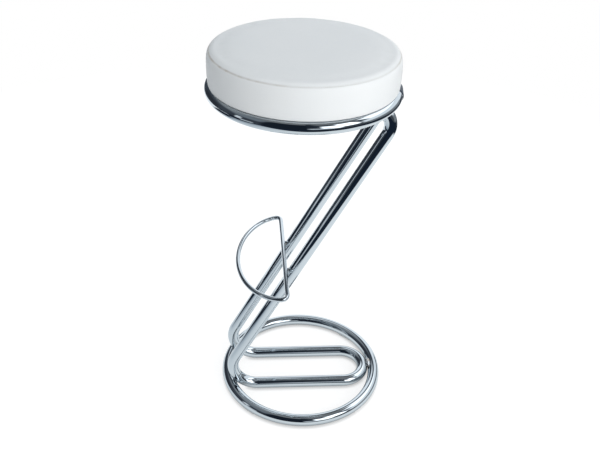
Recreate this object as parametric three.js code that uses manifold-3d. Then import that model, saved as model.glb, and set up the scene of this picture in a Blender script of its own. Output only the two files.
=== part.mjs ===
// Round stool for a bar or diner counter, in millimetres with +Z up.
// One loop of chromed tube is bent like a Z: it lies in the base ring, leans up in two
// parallel legs and folds back under a round padded seat. A thin rod hoop on the legs
// is the foot rest, and a chromed ring runs round the foot of the pad.

import * as THREE from 'three';
import { mergeVertices } from 'three/addons/utils/BufferGeometryUtils.js';
import Module from 'manifold-3d';

const wasm = await Module();
wasm.setup();

// Driving dimensions
const clearance = 0.3;
const tubeDiameter = 25.4;
const tubeWall = 1.5;
const baseRingRadius = 171.6;
const baseLift = 1.5;
const legSpacing = 102.2;
const legAngle = THREE.MathUtils.degToRad(61.9);
const footBendRadius = 56;
const footWeldGap = 1.6;
const headBendRadius = 40;
const headWeldGap = 5.1;
const armDrop = 15.4;
const seatRingRadius = 174.4;
const seatRingHeight = 720.4;
const padOverhang = 7.1;
const seamDrawIn = 4.8;
const padHeight = 61;
const crownHeight = 8.5;
const coverThickness = 1.2;
const hoopHeight = 335.4;
const hoopRodDiameter = 9;
const hoopHalfWidth = 154.4;
const hoopDepth = 99.1;
const hoopDroop = THREE.MathUtils.degToRad(6);
const hoopStandoff = 2;

// Sizes that follow from them
const tubeRadius = tubeDiameter / 2;
const boreRadius = tubeRadius - tubeWall;
const touching = tubeDiameter + clearance;
const halfSpacing = legSpacing / 2;
const floorAxisZ = tubeRadius + baseLift;
const armAxisZ = seatRingHeight - armDrop;
const cornerReachShare = Math.tan((Math.PI - legAngle) / 2);
const footRingX = -Math.sqrt(baseRingRadius ** 2 - halfSpacing ** 2);
const footReach = footBendRadius + tubeDiameter + footWeldGap;
const footCentreX = footRingX + Math.sqrt(footReach ** 2 - footBendRadius ** 2);
const footCornerX = footCentreX - footBendRadius * cornerReachShare;
const legX = (z) => footCornerX + (z - floorAxisZ) / Math.tan(legAngle);
const headRise = headBendRadius + armDrop;
const headReach = headBendRadius + tubeDiameter + headWeldGap;
const headCentreX = legX(armAxisZ) - headBendRadius * cornerReachShare;
const headRingX = headCentreX + Math.sqrt(headReach ** 2 - headRise ** 2);
const seatX = headRingX - Math.sqrt(seatRingRadius ** 2 - halfSpacing ** 2);
const padRadius = seatRingRadius + padOverhang;
const seamRadius = padRadius - seamDrawIn;
const loopRadius = halfSpacing - clearance / 2;
const floorLoopX = baseRingRadius - touching;
const seatLoopGap = Math.sqrt(touching ** 2 - armDrop ** 2);
const seatLoopX = seatX - seatRingRadius + seatLoopGap;
const footprintShift = (seatRingRadius - seatX - baseRingRadius) / 2;

// Fineness of the round shapes
const tubeSides = 16;
const boreSides = 6;
const ringSteps = 48;
const bendSteps = 7;
const loopSteps = 6;
const fullTurn = 2 * Math.PI;
const quarterTurn = Math.PI / 2;
const ringStep = fullTurn / ringSteps;

// Finishes
const finish = (color, roughness, metalness) => ({ color, roughness, metalness });
const chrome = finish(0xc9d0d6, 0.08, 1);
const weldSteel = finish(0x8d8377, 0.35, 0.9);
const blackSteel = finish(0x23262a, 0.5, 0.6);
const sleevePlastic = finish(0x4d5a66, 0.35, 0);
const glidePlastic = finish(0xb9c0c4, 0.4, 0);
const zincSteel = finish(0xb4b2a8, 0.35, 1);
const plywood = finish(0xc9a878, 0.75, 0);
const foam = finish(0xe6d9a6, 0.95, 0);
const leatherette = finish(0xe9eced, 0.45, 0);
const dustCloth = finish(0x1d1d1f, 0.9, 0);

const stool = new THREE.Group();
stool.position.x = footprintShift;

function addPiece(name, geometry, look) {
  const mesh = new THREE.Mesh(geometry, new THREE.MeshStandardMaterial(look));
  mesh.name = name;
  stool.add(mesh);
  return mesh;
}

// A curve through listed stations, each with the direction that the tube has there
class StationCurve extends THREE.Curve {
  constructor(stations) {
    super();
    this.stations = stations;
    this.steps = stations.length - 1;
  }

  getPointAt(share, target = new THREE.Vector3()) {
    const place = share * this.steps;
    const index = Math.min(Math.floor(place), this.steps - 1);
    const from = this.stations[index].point;
    return target.lerpVectors(from, this.stations[index + 1].point, place - index);
  }

  getTangentAt(share, target = new THREE.Vector3()) {
    return target.copy(this.stations[Math.round(share * this.steps)].direction);
  }
}

const station = (point, direction) => ({ point, direction: direction.clone().normalize() });

// Stations of a tube that runs from corner to corner, with each inner corner bent round
function bentRoute(corners, radii, steps) {
  const first = new THREE.Vector3().subVectors(corners[1], corners[0]);
  const stations = [station(corners[0], first)];
  for (let i = 1; i < corners.length - 1; i += 1) {
    const inward = new THREE.Vector3().subVectors(corners[i], corners[i - 1]).normalize();
    const outward = new THREE.Vector3().subVectors(corners[i + 1], corners[i]).normalize();
    const turn = inward.angleTo(outward);
    const reach = radii[i - 1] * Math.tan(turn / 2);
    const start = corners[i].clone().addScaledVector(inward, -reach);
    const side = outward.clone().addScaledVector(inward, -outward.dot(inward)).normalize();
    for (let k = 0; k <= steps[i - 1]; k += 1) {
      const angle = (turn * k) / steps[i - 1];
      const point = start.clone();
      point.addScaledVector(inward, radii[i - 1] * Math.sin(angle));
      point.addScaledVector(side, radii[i - 1] * (1 - Math.cos(angle)));
      const direction = inward.clone().multiplyScalar(Math.cos(angle));
      direction.addScaledVector(side, Math.sin(angle));
      if (point.distanceTo(stations.at(-1).point) > clearance / 2) {
        stations.push(station(point, direction));
      }
    }
  }
  const last = corners.at(-1);
  if (last.distanceTo(stations.at(-1).point) > clearance / 2) {
    stations.push(station(last, new THREE.Vector3().subVectors(last, corners.at(-2))));
  }
  return new StationCurve(stations);
}

// Stations of a flat arc about a vertical axis
function arcRoute(centre, radius, fromAngle, toAngle, steps) {
  const stations = [];
  for (let k = 0; k <= steps; k += 1) {
    const angle = fromAngle + ((toAngle - fromAngle) * k) / steps;
    const spoke = new THREE.Vector3(Math.cos(angle), Math.sin(angle), 0);
    const along = new THREE.Vector3(-spoke.y, spoke.x, 0);
    stations.push(station(centre.clone().addScaledVector(spoke, radius), along));
  }
  return new StationCurve(stations);
}

// A whole ring, whose two ends stand apart by the clearance at the joint
function ringRoute(centre, radius, jointAngle) {
  const route = arcRoute(centre, radius, jointAngle, jointAngle + fullTurn, ringSteps);
  const ends = [route.stations[0], route.stations.at(-1)];
  ends[0].point.addScaledVector(ends[0].direction, clearance / 2);
  ends[1].point.addScaledVector(ends[1].direction, -clearance / 2);
  return route;
}

function roundOutline(radius, sides) {
  const points = [];
  for (let k = 0; k < sides; k += 1) {
    const angle = (fullTurn * k) / sides;
    points.push(new THREE.Vector2(radius * Math.cos(angle), radius * Math.sin(angle)));
  }
  return points;
}

function sweep(route, outerRadius, innerRadius = 0, sides = tubeSides) {
  const section = new THREE.Shape(roundOutline(outerRadius, sides));
  if (innerRadius > 0) {
    section.holes.push(new THREE.Path(roundOutline(innerRadius, boreSides)));
  }
  const options = { extrudePath: route, steps: route.steps, bevelEnabled: false };
  return new THREE.ExtrudeGeometry(section, options);
}

// A solid of revolution about a vertical axis through x, from points of radius and height
function turned(outline, x, sides = ringSteps) {
  const points = outline.map(([radius, z]) => new THREE.Vector2(radius, z));
  const geometry = new THREE.LatheGeometry(points, sides, quarterTurn);
  return geometry.rotateX(quarterTurn).translate(x, 0, 0);
}

function toSolid(geometry) {
  const bare = geometry.clone();
  bare.deleteAttribute('normal');
  bare.deleteAttribute('uv');
  const merged = mergeVertices(bare);
  return new wasm.Manifold(new wasm.Mesh({
    numProp: 3,
    vertProperties: new Float32Array(merged.attributes.position.array),
    triVerts: new Uint32Array(merged.index.array),
  }));
}

function toGeometry(solid) {
  const mesh = solid.getMesh();
  const geometry = new THREE.BufferGeometry();
  geometry.setAttribute('position', new THREE.BufferAttribute(mesh.vertProperties, mesh.numProp));
  geometry.setIndex(new THREE.BufferAttribute(mesh.triVerts, 1));
  return geometry;
}

function cutBy(geometry, cutters) {
  let solid = toSolid(geometry);
  for (const cutter of cutters) {
    solid = solid.subtract(toSolid(cutter));
  }
  return toGeometry(solid);
}

// Base ring on its glides
const baseCentre = new THREE.Vector3(0, 0, floorAxisZ);
const baseRing = ringRoute(baseCentre, baseRingRadius, 0);
const plugLength = 40;
const plugSteps = 4;
const plugSlackShare = 3;
const plugRadius = boreRadius - plugSlackShare * clearance;

// A short plug inside two tube ends that meet on an arc
function jointPlug(centre, radius, jointAngle) {
  const half = plugLength / 2 / radius;
  const route = arcRoute(centre, radius, jointAngle - half, jointAngle + half, plugSteps);
  return sweep(route, plugRadius, 0, boreSides);
}

function addBaseRing() {
  addPiece('base_ring', sweep(baseRing, tubeRadius, boreRadius), chrome);
  addPiece('base_ring_plug', jointPlug(baseCentre, baseRingRadius, 0), blackSteel);
}

// Glides: saddles of clear plastic glued under the base ring
const glideCount = 4;
const glideLength = 34;
const glideWidth = 14;
const glideHeight = 5;

function addGlides() {
  const outline = arcRoute(baseCentre, baseRingRadius, 0, fullTurn, ringSteps);
  const cutter = sweep(outline, tubeRadius + clearance);
  for (let k = 0; k < glideCount; k += 1) {
    const angle = (fullTurn * (k + 0.5)) / glideCount;
    const block = new THREE.BoxGeometry(glideWidth, glideLength, glideHeight);
    block.translate(baseRingRadius, 0, glideHeight / 2).rotateZ(angle);
    addPiece(`glide_${k + 1}`, cutBy(block, [cutter]), glidePlastic);
  }
}

// Frame: two mirrored halves of the loop, butted in the middle of both end loops
function frameCorners(side) {
  const y = side * halfSpacing;
  const endY = (side * clearance) / 2;
  return [
    new THREE.Vector3(floorLoopX, endY, floorAxisZ),
    new THREE.Vector3(floorLoopX, y, floorAxisZ),
    new THREE.Vector3(footCornerX, y, floorAxisZ),
    new THREE.Vector3(legX(armAxisZ), y, armAxisZ),
    new THREE.Vector3(seatLoopX, y, armAxisZ),
    new THREE.Vector3(seatLoopX, endY, armAxisZ),
  ];
}

const frameRadii = [loopRadius, footBendRadius, headBendRadius, loopRadius];
const frameSteps = [loopSteps, bendSteps, bendSteps, loopSteps];
const sides = { front: -1, rear: 1 };
const frameRoute = (side) => bentRoute(frameCorners(side), frameRadii, frameSteps);
const floorLoopCentre = new THREE.Vector3(floorLoopX - loopRadius, 0, floorAxisZ);
const seatLoopCentre = new THREE.Vector3(seatLoopX + loopRadius, 0, armAxisZ);

function addFrame() {
  for (const [name, side] of Object.entries(sides)) {
    addPiece(`frame_${name}`, sweep(frameRoute(side), tubeRadius, boreRadius), chrome);
  }
  addPiece('floor_loop_plug', jointPlug(floorLoopCentre, loopRadius, 0), blackSteel);
  addPiece('seat_loop_plug', jointPlug(seatLoopCentre, loopRadius, Math.PI), blackSteel);
}

// Welds: beads in the crack between two tubes that touch
const beadRadius = 7;
const beadSides = 12;
const beadRings = 8;
const longBeadShare = 2;

function weldBead(spot, cutters, lengthShare = 1) {
  const ball = new THREE.SphereGeometry(beadRadius, beadSides, beadRings);
  ball.scale(1, lengthShare, 1).translate(spot.x, spot.y, spot.z);
  return cutBy(ball, cutters);
}

// The spot halfway from a bend's centre-line to a point on a ring's
function betweenTubes(bendCentre, bendRadius, ringPoint) {
  const away = new THREE.Vector3().subVectors(ringPoint, bendCentre);
  const middle = (away.length() + bendRadius) / 2;
  return bendCentre.clone().addScaledVector(away.normalize(), middle);
}

function addWelds() {
  const grown = tubeRadius + clearance;
  const around = (centre, radius) => sweep(arcRoute(centre, radius, 0, fullTurn, ringSteps), grown);
  const ring = around(baseCentre, baseRingRadius);
  const seat = around(seatCentrePoint, seatRingRadius);
  const floorLoop = around(floorLoopCentre, loopRadius);
  const seatLoop = around(seatLoopCentre, loopRadius);
  const floorSpot = new THREE.Vector3(baseRingRadius - touching / 2, 0, floorAxisZ + beadRadius);
  const floorBead = weldBead(floorSpot, [ring, floorLoop], longBeadShare);
  addPiece('weld_floor_loop', floorBead, weldSteel);
  const across = new THREE.Vector3(-armDrop, 0, -seatLoopGap).setLength(beadRadius);
  const backSpot = new THREE.Vector3(seatLoopX - seatLoopGap / 2, 0, armAxisZ + armDrop / 2);
  const backBead = weldBead(backSpot.add(across), [seat, seatLoop], longBeadShare);
  addPiece('weld_seat_loop', backBead, weldSteel);
  for (const [name, side] of Object.entries(sides)) {
    const y = side * halfSpacing;
    const leg = sweep(frameRoute(side), grown);
    const footCentre = new THREE.Vector3(footCentreX, y, floorAxisZ + footBendRadius);
    const footPoint = new THREE.Vector3(footRingX, y, floorAxisZ);
    const footSpot = betweenTubes(footCentre, footBendRadius, footPoint);
    addPiece(`weld_foot_${name}`, weldBead(footSpot, [ring, leg]), weldSteel);
    const headCentre = new THREE.Vector3(headCentreX, y, armAxisZ - headBendRadius);
    const headPoint = new THREE.Vector3(headRingX, y, seatRingHeight);
    const headSpot = betweenTubes(headCentre, headBendRadius, headPoint);
    addPiece(`weld_head_${name}`, weldBead(headSpot, [seat, leg]), weldSteel);
  }
}

// Foot hoop: a rod bent to a D, with its straight side along the two legs
const hoopOffset = tubeRadius + hoopStandoff + hoopRodDiameter / 2;
const chordX = legX(hoopHeight) - hoopOffset / Math.sin(legAngle);
const hoopRodSides = 10;
const hoopArcSteps = 22;
const hoopCornerSteps = 4;
const cornerShare = 0.2;
const stubRadius = 6;

// A point of the hoop's plan, across the legs and out from them, on its drooping plane
function hoopPlace({ x: across, y: out }) {
  const x = chordX - out * Math.cos(hoopDroop);
  return new THREE.Vector3(x, across, hoopHeight - out * Math.sin(hoopDroop));
}

// The straight side, two rounded corners and the bow, a half ellipse seen from above
function hoopRoute() {
  const meet = Math.asin(cornerShare);
  const end = (side) => new THREE.Vector2(side * hoopHalfWidth * Math.cos(meet), hoopDepth * cornerShare);
  const corner = (side) => new THREE.Vector2((side * hoopHalfWidth) / Math.cos(meet), 0);
  const straight = corner(1).x - corner(1).distanceTo(end(1));
  const chordEnd = (side) => new THREE.Vector2(side * straight, 0);
  const joint = (side) => new THREE.Vector2((side * clearance) / 2, 0);
  const sections = [
    [new THREE.LineCurve(joint(1), chordEnd(1)), 1],
    [new THREE.QuadraticBezierCurve(chordEnd(1), corner(1), end(1)), hoopCornerSteps],
    [new THREE.EllipseCurve(0, 0, hoopHalfWidth, hoopDepth, meet, Math.PI - meet), hoopArcSteps],
    [new THREE.QuadraticBezierCurve(end(-1), corner(-1), chordEnd(-1)), hoopCornerSteps],
    [new THREE.LineCurve(chordEnd(-1), joint(-1)), 1],
  ];
  const stations = [];
  for (const [curve, steps] of sections) {
    for (let k = stations.length ? 1 : 0; k <= steps; k += 1) {
      const spot = curve.getPoint(k / steps);
      const heading = curve.getTangent(k / steps);
      const direction = hoopPlace(heading).sub(hoopPlace(new THREE.Vector2()));
      stations.push(station(hoopPlace(spot), direction));
    }
  }
  return new StationCurve(stations);
}

function addHoop() {
  const rodRadius = hoopRodDiameter / 2;
  const grownRod = sweep(hoopRoute(), rodRadius + clearance, 0, hoopRodSides);
  addPiece('foot_hoop', sweep(hoopRoute(), rodRadius, 0, hoopRodSides), chrome);
  for (const [name, side] of Object.entries(sides)) {
    const leg = sweep(frameRoute(side), tubeRadius + clearance);
    const stub = new THREE.CylinderGeometry(stubRadius, stubRadius, hoopOffset, tubeSides);
    stub.translate(0, -hoopOffset / 2, 0).rotateX(quarterTurn).rotateY(legAngle - quarterTurn);
    stub.translate(chordX, side * halfSpacing, hoopHeight);
    addPiece(`hoop_stub_${name}`, cutBy(stub, [leg, grownRod]), weldSteel);
  }
}

// Seat ring round the foot of the pad, butted under a sleeve
const seatCentrePoint = new THREE.Vector3(seatX, 0, seatRingHeight);
const sleeveAngle = -ringStep;
const sleeveLength = 36;
const sleeveWall = 1.1;
const sleeveLip = THREE.MathUtils.degToRad(60);
const sleeveSteps = 4;

function addSeatRing() {
  const route = ringRoute(seatCentrePoint, seatRingRadius, sleeveAngle);
  addPiece('seat_ring', sweep(route, tubeRadius, boreRadius), chrome);
  const half = sleeveLength / 2 / seatRingRadius;
  const from = sleeveAngle - half;
  const sleeve = arcRoute(seatCentrePoint, seatRingRadius, from, sleeveAngle + half, sleeveSteps);
  const bore = (tubeRadius + clearance) / Math.cos(Math.PI / tubeSides);
  const body = sweep(sleeve, bore + sleeveWall);
  const cutters = [sweep(sleeveBoreRoute(half), bore), turned(padRoom(), seatX)];
  addPiece('ring_joint_sleeve', cutBy(body, cutters), sleevePlastic);
}

function sleeveBoreRoute(half) {
  const past = half + clearance / tubeRadius;
  const from = sleeveAngle - past;
  return arcRoute(seatCentrePoint, seatRingRadius, from, sleeveAngle + past, sleeveSteps);
}

// Seat deck: two steel straps on the arms, a plywood board and a dust cloth
const strapThickness = 4;
const strapWidth = 30;
const strapSpreadShare = 0.43;
const strapSpread = strapSpreadShare * seatRingRadius;
const strapBottom = armAxisZ + tubeRadius + clearance;
const strapTop = strapBottom + strapThickness;
const dustThickness = 0.6;
const dustBottom = strapTop + clearance;
const hemBottom = dustBottom + dustThickness + clearance;
const boardThickness = 12;
const boardBottom = hemBottom + coverThickness + clearance;
const boardTop = boardBottom + boardThickness;
const boardRadius = seatRingRadius - tubeRadius - 2 * clearance - coverThickness - clearance;
const dustInset = 6;
const dustRadius = boardRadius - dustInset;
const hemWidth = 20;
const screwRadius = 2.1;
const screwHeadRadius = 4.4;
const screwHeadHeight = 3;
const screwBite = 9;
const screwSides = 10;
const washerRadius = 7;
const washerThickness = 1;
const screwReachShare = 0.62;
const screwY = screwReachShare * seatRingRadius;
const overrun = 2;

const disc = (radius, bottom, top) => [[0, bottom], [radius, bottom], [radius, top], [0, top]];
const screwPlaces = [];
for (const alongX of [-strapSpread, strapSpread]) {
  for (const acrossY of [-screwY, screwY]) {
    screwPlaces.push([seatX + alongX, acrossY]);
  }
}

function screwHoles(bottom, top) {
  const outline = disc(screwRadius + clearance, bottom - overrun, top);
  return screwPlaces.map(([x, y]) => turned(outline, 0, screwSides).translate(x, y, 0));
}

function strapReach() {
  const rise = seatRingHeight - strapTop;
  return seatRingRadius - Math.sqrt(tubeRadius ** 2 - rise ** 2) - clearance;
}

function addDeck() {
  const round = toSolid(turned(disc(strapReach(), strapBottom, strapTop), seatX));
  const names = { left: -strapSpread, right: strapSpread };
  for (const [name, spread] of Object.entries(names)) {
    const bar = new THREE.BoxGeometry(strapWidth, 2 * seatRingRadius, strapThickness);
    bar.translate(seatX + spread, 0, strapBottom + strapThickness / 2);
    const shaped = toGeometry(toSolid(bar).intersect(round));
    const holes = screwHoles(strapBottom, strapTop + overrun);
    addPiece(`seat_strap_${name}`, cutBy(shaped, holes), blackSteel);
  }
  const cloth = turned(disc(dustRadius, dustBottom, dustBottom + dustThickness), seatX);
  addPiece('dust_cloth', cutBy(cloth, screwHoles(dustBottom, hemBottom)), dustCloth);
  const board = turned(disc(boardRadius, boardBottom, boardTop), seatX);
  const blind = boardBottom + screwBite + clearance;
  addPiece('seat_board', cutBy(board, screwHoles(boardBottom, blind)), plywood);
}

function addScrews() {
  const washerTop = strapBottom - clearance;
  const washerBottom = washerTop - washerThickness;
  const headTop = washerBottom - clearance;
  const screw = [
    [0, headTop - screwHeadHeight],
    [screwHeadRadius, headTop - screwHeadHeight],
    [screwHeadRadius, headTop],
    [screwRadius, headTop],
    [screwRadius, boardBottom + screwBite],
    [0, boardBottom + screwBite],
  ];
  const washerBore = screwRadius + clearance;
  const washer = [
    [washerBore, washerBottom],
    [washerRadius, washerBottom],
    [washerRadius, washerTop],
    [washerBore, washerTop],
    [washerBore, washerBottom],
  ];
  screwPlaces.forEach(([x, y], index) => {
    const place = (outline) => turned(outline, 0, screwSides).translate(x, y, 0);
    addPiece(`seat_screw_${index + 1}`, place(screw), zincSteel);
    addPiece(`seat_washer_${index + 1}`, place(washer), zincSteel);
  });
}

// Pad: foam in a cover of a side band and a crowned top panel, sewn at the shoulder
const seamZ = seatRingHeight + tubeRadius + padHeight;
const crownPower = 3;
const crownRings = 6;
const overRingSteps = 4;
const overRingTo = THREE.MathUtils.degToRad(80);
const sidePoints = 5;
const footInset = 1.2;
const bulgeHeightShares = [0.12, 0.5, 0.82];
const bulgeInsetShares = [0.15, 0, 0.32];

// Points at a given distance over the top of the seat ring's section, from a given height
function overRing(offset, bottom) {
  const reach = tubeRadius + offset;
  const from = Math.PI - Math.asin((bottom - seatRingHeight) / reach);
  const points = [];
  for (let k = 0; k <= overRingSteps; k += 1) {
    const angle = from + ((overRingTo - from) * k) / overRingSteps;
    const radius = seatRingRadius + reach * Math.cos(angle);
    points.push([radius, seatRingHeight + reach * Math.sin(angle)]);
  }
  return points;
}

// The pad's side from its foot to the seam, drawn in at both ends
function padSide(inset) {
  const foot = seatRingHeight + tubeRadius + clearance + inset;
  const outline = [new THREE.Vector2(padRadius - footInset - inset, foot)];
  bulgeHeightShares.forEach((share, index) => {
    const radius = padRadius - bulgeInsetShares[index] * seamDrawIn - inset;
    outline.push(new THREE.Vector2(radius, foot + share * (seamZ - foot)));
  });
  outline.push(new THREE.Vector2(seamRadius - inset, seamZ));
  return new THREE.SplineCurve(outline).getPoints(sidePoints).map(({ x, y }) => [x, y]);
}

// The room that the sleeve leaves for the pad over the seat ring
function padRoom() {
  const bottom = hemBottom - clearance;
  const lip = (tubeRadii) => [
    seatRingRadius + tubeRadii * tubeRadius * Math.cos(sleeveLip),
    seatRingHeight + tubeRadii * tubeRadius * Math.sin(sleeveLip),
  ];
  return [[0, bottom], ...overRing(-clearance, bottom), lip(0), lip(2), [0, seamZ]];
}

// The crown from its rim to the middle, raised above the seam
function crown(rimRadius, lift) {
  const points = [];
  for (let k = 0; k <= crownRings; k += 1) {
    const radius = rimRadius * (1 - k / crownRings);
    const rise = crownHeight * (1 - (radius / seamRadius) ** crownPower);
    points.push([radius, seamZ + lift + rise]);
  }
  return points;
}

function addPad() {
  const hemRadius = boardRadius - hemWidth;
  const hemTop = hemBottom + coverThickness;
  const band = [
    [hemRadius, hemBottom],
    ...overRing(clearance, hemBottom),
    ...padSide(0),
    ...padSide(coverThickness).reverse(),
    ...overRing(clearance + coverThickness, hemTop).reverse(),
    [hemRadius, hemTop],
    [hemRadius, hemBottom],
  ];
  addPiece('cover_side_band', turned(band, seatX), leatherette);
  const underside = crown(seamRadius, clearance).reverse();
  const top = [...underside, ...crown(seamRadius, clearance + coverThickness)];
  addPiece('cover_top_panel', turned(top, seatX), leatherette);
  const foamRadius = seamRadius - coverThickness - clearance;
  const filling = [
    [0, boardTop + clearance],
    [boardRadius, boardTop + clearance],
    ...overRing(2 * clearance + coverThickness, hemTop).slice(2),
    ...padSide(coverThickness + clearance).slice(0, -1),
    ...crown(foamRadius, 0),
  ];
  addPiece('foam_pad', turned(filling, seatX), foam);
}

addBaseRing();
addGlides();
addFrame();
addHoop();
addSeatRing();
addDeck();
addScrews();
addPad();
addWelds();

export default stool;
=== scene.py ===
# %% [markdown]
# A bar stool in a plain studio.
# The real stool is one loop of chromed tube bent like a Z. It lies inside a ring on the floor,
# leans up in two legs and folds back under a round white pad. A rod hoop on the legs is the foot
# rest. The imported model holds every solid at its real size, so this script only adds the looks:
# smooth bent tube, a padded cover, stitches, beads and finishes.

import math

import bmesh
import bpy
import numpy as np
from mathutils import Matrix, Vector, noise


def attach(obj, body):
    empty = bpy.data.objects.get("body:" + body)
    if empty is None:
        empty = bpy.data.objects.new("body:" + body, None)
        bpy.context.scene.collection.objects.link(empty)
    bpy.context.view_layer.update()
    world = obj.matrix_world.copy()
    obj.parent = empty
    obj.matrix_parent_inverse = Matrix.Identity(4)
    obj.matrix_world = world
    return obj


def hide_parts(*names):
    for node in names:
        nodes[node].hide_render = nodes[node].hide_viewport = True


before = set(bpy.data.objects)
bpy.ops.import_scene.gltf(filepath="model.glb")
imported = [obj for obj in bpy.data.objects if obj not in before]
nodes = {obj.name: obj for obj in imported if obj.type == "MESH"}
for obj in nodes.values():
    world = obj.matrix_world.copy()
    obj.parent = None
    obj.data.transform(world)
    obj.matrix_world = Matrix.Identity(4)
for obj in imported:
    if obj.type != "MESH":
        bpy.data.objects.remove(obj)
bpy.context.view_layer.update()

# %% [markdown]
# The stool's own measures, in metres, from the middle of its footprint. The tube is one-inch tube.
# The two rings are centred apart. Tubes that touch are drawn a hair apart, so that no two surfaces
# lie in each other.

# %% Measures
MM = 0.001
TUBE = 12.7 * MM
BASE_X = 9.7 * MM
BASE_RADIUS = 171.6 * MM
FLOOR_Z = 14.2 * MM
LEG_Y = 51.1 * MM
LEG_ANGLE = math.radians(61.9)
FOOT_X = BASE_X - 195.9 * MM
FOOT_BEND = 56 * MM
HEAD_BEND = 40 * MM
SEAT_X = BASE_X - 16.6 * MM
SEAT_RADIUS = 174.4 * MM
SEAT_Z = 720.4 * MM
SEAT_MIDDLE = Vector((SEAT_X, 0, 0))
ARM_Z = SEAT_Z - 15.4 * MM
HAIR = 0.3 * MM
TOUCH = 2 * TUBE + HAIR


def polar(radius, angle, height, x=SEAT_X):
    """A point at a radius and an angle round the seat's middle, or round another x."""
    return Vector((x + radius * math.cos(angle), radius * math.sin(angle), height))


def leg_x(z):
    """Where the legs' centre-line is at a height."""
    return FOOT_X + (z - FLOOR_Z) / math.tan(LEG_ANGLE)


floor_end_x = BASE_X + BASE_RADIUS - TOUCH
seat_gap = math.sqrt(TOUCH**2 - (SEAT_Z - ARM_Z) ** 2)
seat_end_x = SEAT_X - SEAT_RADIUS + seat_gap
print("seat loop ends at x, mm:", round(seat_end_x / MM, 1))

# %% [markdown]
# The camera comes first. The photograph was taken from above seat height with a fairly long lens,
# turned a little to the right and rolled by two degrees. The numbers were fitted to the outlines of
# the rings and tubes.

# %% Camera
CAMERA_AT = Vector((-0.1236, -1.3839, 1.3018))
PITCH, YAW, ROLL = 0.5698, 0.0861, 0.0364
LENS = 47.16

level = math.cos(PITCH)
forward = Vector((math.sin(YAW) * level, math.cos(YAW) * level, -math.sin(PITCH)))
level_right = Vector((math.cos(YAW), -math.sin(YAW), 0))
level_up = level_right.cross(forward)
right = level_right * math.cos(ROLL) + level_up * math.sin(ROLL)
up = level_up * math.cos(ROLL) - level_right * math.sin(ROLL)


def new_piece(name, data):
    piece = bpy.data.objects.new(name, data)
    bpy.context.scene.collection.objects.link(piece)
    return piece


camera_data = bpy.data.cameras.new("camera")
camera_data.lens, camera_data.sensor_width = LENS, 36
camera = new_piece("camera", camera_data)
turned = Matrix((right, up, -forward)).transposed().to_4x4()
camera.matrix_world = Matrix.Translation(CAMERA_AT) @ turned
bpy.context.scene.camera = camera
bpy.context.scene.view_settings.view_transform = "Standard"

# %% [markdown]
# Materials are node trees, and most of them are sums. So one small class stands for a socket and
# gives it Python's operators, each of which adds a Math node. A second class holds one tree.

# %% Shader maths
def add_node(tree, kind, settings, sockets):
    """Adds a node to any tree. A socket or a Value as an input is linked, a number is written."""
    made = tree.nodes.new(kind)
    for key, setting in (settings or {}).items():
        setattr(made, key, setting)
    for key, value in (sockets or {}).items():
        value = getattr(value, "socket", value)
        if isinstance(value, bpy.types.NodeSocket):
            tree.links.new(value, made.inputs[key])
        else:
            made.inputs[key].default_value = value
    return made


class Value:
    """A socket of a node tree that can be added, multiplied and so on."""

    def __init__(self, paint, socket):
        self.paint, self.socket = paint, socket

    def __add__(self, other):
        return self.paint.maths("ADD", self, other)

    def __sub__(self, other):
        return self.paint.maths("SUBTRACT", self, other)

    def __rsub__(self, other):
        return self.paint.maths("SUBTRACT", other, self)

    def __mul__(self, other):
        return self.paint.maths("MULTIPLY", self, other)

    __radd__, __rmul__ = __add__, __mul__


class Paint:
    """One node tree, of a material or of the world."""

    def __init__(self, owner):
        owner.use_nodes = True
        self.owner, self.tree = owner, owner.node_tree
        self.tree.nodes.clear()

    def node(self, kind, settings=None, sockets=None, output=0):
        made = add_node(self.tree, "ShaderNode" + kind, settings, sockets)
        return Value(self, made.outputs[output]) if len(made.outputs) else made

    def maths(self, operation, *terms):
        return self.node("Math", {"operation": operation}, dict(enumerate(terms)))

    def mix(self, share, first, second):
        return self.node("Mix", {"data_type": "RGBA"}, {0: share, 6: first, 7: second}, 2)

    def coords(self, scale=(1, 1, 1)):
        place = self.node("TexCoord", output="Object")
        return self.node("Mapping", sockets={"Vector": place, "Scale": scale})

    def apart(self, vector, count=3):
        """The first numbers of a vector, each as a value of its own."""
        return [self.node("SeparateXYZ", sockets={0: vector}, output=k) for k in range(count)]

    def noise(self, scale, detail=2, stretch=(1, 1, 1)):
        sockets = {"Vector": self.coords(stretch), "Scale": scale, "Detail": detail}
        return self.node("TexNoise", sockets=sockets, output="Fac")

    def bump(self, height, depth, strength=1.0):
        sockets = {"Height": height, "Distance": depth, "Strength": strength}
        return self.node("Bump", sockets=sockets)

    def spread(self, value, low, high, out_low=0.0, out_high=1.0):
        sockets = {0: value, 1: low, 2: high, 3: out_low, 4: out_high}
        return self.node("MapRange", {"clamp": True}, sockets)

    def end(self, shader):
        self.node("OutputMaterial", sockets={"Surface": shader})
        return self.owner

    def surface(self, **sockets):
        """Ends a material in a Principled shader. Underscores stand for the spaces in names."""
        named = {key.replace("_", " "): value for key, value in sockets.items()}
        return self.end(self.node("BsdfPrincipled", sockets=named))


def new_paint(name):
    return Paint(bpy.data.materials.new(name))


def grey(level, warmth=0.0):
    """A nearly neutral colour, warmer above 0 and cooler below."""
    return (level * (1 + warmth), level, level * (1 - warmth), 1)

# %% [markdown]
# Chrome is a mirror with a faint blue cast. It looks real through what it reflects, and because it
# is slightly uneven: a bent tube keeps long shallow waves, and fingers dull its gloss here and
# there. A bead of weld under the plating stays lumpy and takes a brown tint from the heat.
#
# Plainer finishes share one rule: a noise decides the colour and the gloss of each place, and a
# finer noise, or the same one, raises the surface.

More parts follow.
